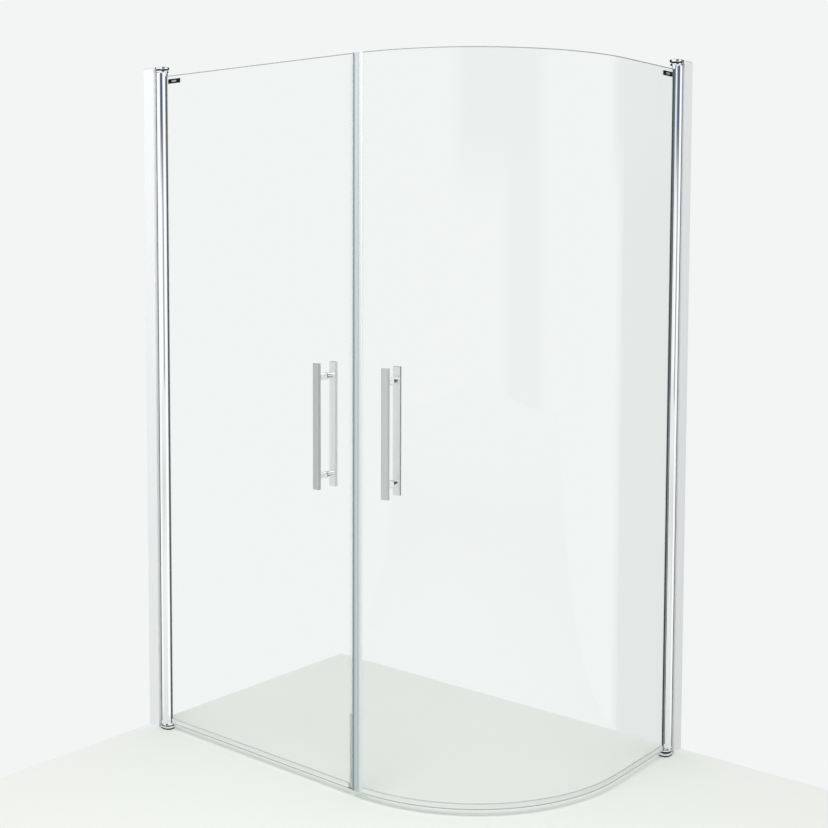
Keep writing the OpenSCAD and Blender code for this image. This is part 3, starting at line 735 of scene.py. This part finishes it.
class SHOWER_OT_badges(bpy.types.Operator):
    """Make the black badges with their pale bar"""

    bl_idname = "shower.badges"
    bl_label = "Badges"

    def execute(self, context):
        settings, trim = context.scene.shower_glass, context.scene.shower_trim
        # Acrylic sheet, printed deep black from behind and etched against glare: it hardly shines
        black = plastic("etched_black_acrylic", settings.badge,
                        grain=2, roughness=0.4, bump=0.05, sheen=0.12)
        # Acrylic inlay, grey all through and rubbed down: a plain pale bar without any lettering
        pale = plastic("rubbed_grey_acrylic", settings.badge_bar,
                       grain=1, roughness=0.35, bump=0.1)
        for side in SIDES:
            node = f"{side}_badge"
            low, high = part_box(node)
            middle, out, along = (low + high) / 2, OUTWARDS[side], ALONG[side]
            width, thick = abs((high - low).dot(along)), abs((high - low).dot(out))
            corner, edge = trim.badge_corner, PLATE_EDGE
            face = thick / 2 - BAR_STANDS_OUT
            bm = flat_plate(middle, out, along, width, high.z - low.z, 6, (
                (-thick / 2, 0, corner), (face - edge, 0, corner),
                (face - edge * 0.3, edge * 0.3, corner - edge * 0.3), (face, edge, corner - edge)))
            new_piece(f"{side}_badge_plate", bm, black, DOOR[side], "badge_black", node)
            bm = flat_plate(middle, out, along, trim.badge_bar_width, trim.badge_bar_height, 4, (
                (face - BAR_GOES_IN, 0, BAR_CORNER), (thick / 2 - BAR_EDGE_HEIGHT, 0, BAR_CORNER),
                (thick / 2, BAR_EDGE_WIDTH, BAR_CORNER)))
            new_piece(f"{side}_badge_bar", bm, pale, DOOR[side], "badge_black")
        return {"FINISHED"}


class SHOWER_OT_stage(bpy.types.Operator):
    """Set up the floor, the backdrop, the light and the camera"""

    bl_idname = "shower.stage"
    bl_label = "Stage"

    def execute(self, context):
        scene = context.scene
        settings = scene.shower_stage
        self.camera(scene)
        self.floor(scene, settings)
        self.backdrop(scene, settings)
        self.lamp(scene, settings)
        scene.view_settings.view_transform = "Standard"
        return {"FINISHED"}

    def camera(self, scene):
        """The photograph's camera, fitted to the glass edges, the profiles and the handles."""
        data = bpy.data.cameras.new("camera")
        data.sensor_width = SENSOR_WIDTH
        data.lens = FOCAL_LENGTH * SENSOR_WIDTH / PICTURE_SIDE
        data.shift_y = (AXIS_ROW - PICTURE_SIDE / 2) / PICTURE_SIDE
        data.clip_end = CAMERA_SEES_TO
        made = bpy.data.objects.new("camera", data)
        scene.collection.objects.link(made)
        turn = (Matrix.Rotation(CAMERA_HEADING, 4, "Z")
                @ Matrix.Rotation(math.pi / 2 - CAMERA_TILT_DOWN, 4, "X"))
        made.matrix_world = (Matrix.Translation(CAMERA_PLACE) @ turn
                             @ Matrix.Rotation(CAMERA_ROLL, 4, "Z"))
        scene.camera = made

    def floor(self, scene, settings):
        """A plain floor before the enclosure, between the planes that it is mounted on."""
        reach = FLOOR_REACH
        mesh = bpy.data.meshes.new("floor")
        mesh.from_pydata([(0, -reach, 0), (reach, -reach, 0), (reach, 0, 0), (0, 0, 0)], [],
                         [(0, 1, 2, 3)])
        made = bpy.data.objects.new("floor", mesh)
        scene.collection.objects.link(made)
        material, tree = new_material("plain_floor")
        surface = add_node(tree, "ShaderNodeBsdfPrincipled", values={
            "Base Color": rgba(settings.floor), "Roughness": 0.7, "Specular IOR Level": 0.2})
        # Far from the doors the floor turns into backdrop, so that the glass shows no floor edge
        place = add_node(tree, "ShaderNodeTexCoord")
        distance = add_node(tree, "ShaderNodeVectorMath", {0: place.outputs["Object"]},
                            operation="LENGTH")
        far = add_node(tree, "ShaderNodeMapRange", {"Value": distance.outputs["Value"]},
                       {"From Min": FLOOR_FADE[0], "From Max": FLOOR_FADE[1]},
                       interpolation_type="SMOOTHSTEP")
        pale = add_node(tree, "ShaderNodeEmission", values={
            "Color": rgba(settings.backdrop), "Strength": 1})
        both = add_node(tree, "ShaderNodeMixShader",
                        {0: far.outputs["Result"], 1: surface.outputs["BSDF"],
                         2: pale.outputs["Emission"]})
        add_node(tree, "ShaderNodeOutputMaterial", {"Surface": both.outputs["Shader"]})
        mesh.materials.append(material)

    def backdrop(self, scene, settings):
        """A pale room all around. What mirrors it also finds darker cards and a dim ceiling."""
        world = bpy.data.worlds.new("soft_room")
        world.use_nodes = True
        tree = world.node_tree
        tree.nodes.clear()
        ray = add_node(tree, "ShaderNodeLightPath")
        place = add_node(tree, "ShaderNodeTexCoord")
        axes = add_node(tree, "ShaderNodeSeparateXYZ", {0: place.outputs["Generated"]})
        azimuth = add_node(tree, "ShaderNodeMath", {0: axes.outputs["Y"], 1: axes.outputs["X"]},
                           operation="ARCTAN2")
        layers = []
        for middle, half, soft, (low, high), code in MIRRORED_CARDS:
            # The turn from the card's middle, folded so that it is never more than half a circle
            turn = add_node(tree, "ShaderNodeMath", {0: azimuth.outputs[0]},
                            {1: math.radians(middle)}, operation="SUBTRACT")
            turn = add_node(tree, "ShaderNodeMath", {0: turn.outputs[0]},
                            {1: -math.pi, 2: math.pi}, operation="WRAP")
            turn = add_node(tree, "ShaderNodeMath", {0: turn.outputs[0]}, operation="ABSOLUTE")
            across = add_node(tree, "ShaderNodeMapRange", {"Value": turn.outputs[0]},
                              {"From Min": math.radians(half - soft),
                               "From Max": math.radians(half + soft), "To Min": 1, "To Max": 0},
                              interpolation_type="SMOOTHSTEP")
            height = add_node(tree, "ShaderNodeMapRange", {"Value": axes.outputs["Z"]},
                              {"From Min": low, "From Max": high}, interpolation_type="SMOOTHSTEP")
            share = add_node(tree, "ShaderNodeMath", {0: across.outputs[0], 1: height.outputs[0]},
                             operation="MULTIPLY")
            layers.append((share, srgb(code)))
        overhead = add_node(tree, "ShaderNodeMapRange", {"Value": axes.outputs["Z"]},
                            {"From Min": CEILING_FADE[0], "From Max": CEILING_FADE[1]},
                            interpolation_type="SMOOTHSTEP")
        layers.append((overhead, settings.ceiling))
        # Each layer covers its share of what lies below it, and the first lies on the backdrop
        room = None
        for share, colour in layers:
            links, values = {0: share.outputs[0]}, {SECOND: rgba(colour)}
            if room is None:
                values[FIRST] = rgba([MIRRORED_WHITE] * 3)
            else:
                links[FIRST] = room.outputs[MIXED]
            room = add_node(tree, "ShaderNodeMix", links, values, data_type="RGBA")
        # Rays that have gone through the glass find the plain backdrop, and so does the camera
        straight = add_node(tree, "ShaderNodeMath", {1: ray.outputs["Is Transmission Ray"]}, {0: 1},
                            operation="SUBTRACT")
        mirrored = add_node(tree, "ShaderNodeMath",
                            {0: ray.outputs["Is Glossy Ray"], 1: straight.outputs[0]},
                            operation="MULTIPLY")
        shown = add_node(tree, "ShaderNodeMix",
                         {0: mirrored.outputs[0], SECOND: room.outputs[MIXED]},
                         {FIRST: rgba(settings.backdrop)}, data_type="RGBA")
        direct = add_node(tree, "ShaderNodeMath",
                          {0: ray.outputs["Is Camera Ray"], 1: ray.outputs["Is Glossy Ray"]},
                          operation="MAXIMUM")
        direct = add_node(tree, "ShaderNodeMath",
                          {0: direct.outputs[0], 1: ray.outputs["Is Transmission Ray"]},
                          operation="MAXIMUM")
        soft = add_node(tree, "ShaderNodeBackground", values={
            "Color": (1, 1, 1, 1), "Strength": settings.soft_light})
        pale = add_node(tree, "ShaderNodeBackground", {"Color": shown.outputs[MIXED]},
                        {"Strength": 1})
        both = add_node(tree, "ShaderNodeMixShader",
                        {0: direct.outputs[0], 1: soft.outputs[0], 2: pale.outputs[0]})
        add_node(tree, "ShaderNodeOutputWorld", {"Surface": both.outputs[0]})
        scene.world = world

    def lamp(self, scene, settings):
        """One large soft lamp high in front of the doors."""
        data = bpy.data.lights.new("soft_lamp", "AREA")
        data.shape = "DISK"
        data.size = LAMP_ACROSS
        data.energy = settings.lamp_power
        made = bpy.data.objects.new("soft_lamp", data)
        scene.collection.objects.link(made)
        made.visible_glossy = False
        made.location = LAMP_PLACE
        made.rotation_mode = "QUATERNION"
        made.rotation_quaternion = (LAMP_AIM - LAMP_PLACE).to_track_quat("-Z", "Y")


class SHOWER_PT_panel(bpy.types.Panel):
    """Lists the steps that dress the enclosure"""

    bl_label = "Shower Enclosure"
    bl_idname = "SHOWER_PT_panel"
    bl_space_type = "VIEW_3D"
    bl_region_type = "UI"
    bl_category = "Shower"

    def draw(self, context):
        for step in STEPS:
            self.layout.operator(step.bl_idname)
        for group in GROUPS:
            settings = getattr(context.scene, group)
            box = self.layout.box()
            for name in settings.__annotations__:
                box.prop(settings, name)


STEPS = (
    SHOWER_OT_wall_profiles,
    SHOWER_OT_profile_screws,
    SHOWER_OT_brackets,
    SHOWER_OT_hinge_tubes,
    SHOWER_OT_glass,
    SHOWER_OT_seals,
    SHOWER_OT_handles,
    SHOWER_OT_badges,
    SHOWER_OT_stage,
)
GROUPS = {
    "shower_metal": ShowerMetalSettings,
    "shower_glass": ShowerGlassSettings,
    "shower_trim": ShowerTrimSettings,
    "shower_stage": ShowerStageSettings,
}


def register():
    for made in (*GROUPS.values(), *STEPS, SHOWER_PT_panel):
        bpy.utils.register_class(made)
    for name, group in GROUPS.items():
        setattr(bpy.types.Scene, name, bpy.props.PointerProperty(type=group))


def unregister():
    for name in GROUPS:
        delattr(bpy.types.Scene, name)
    for made in reversed((*GROUPS.values(), *STEPS, SHOWER_PT_panel)):
        bpy.utils.unregister_class(made)


def main():
    register()
    for step in STEPS:
        group, name = step.bl_idname.split(".")
        getattr(getattr(bpy.ops, group), name)()


if __name__ == "__main__":
    main()
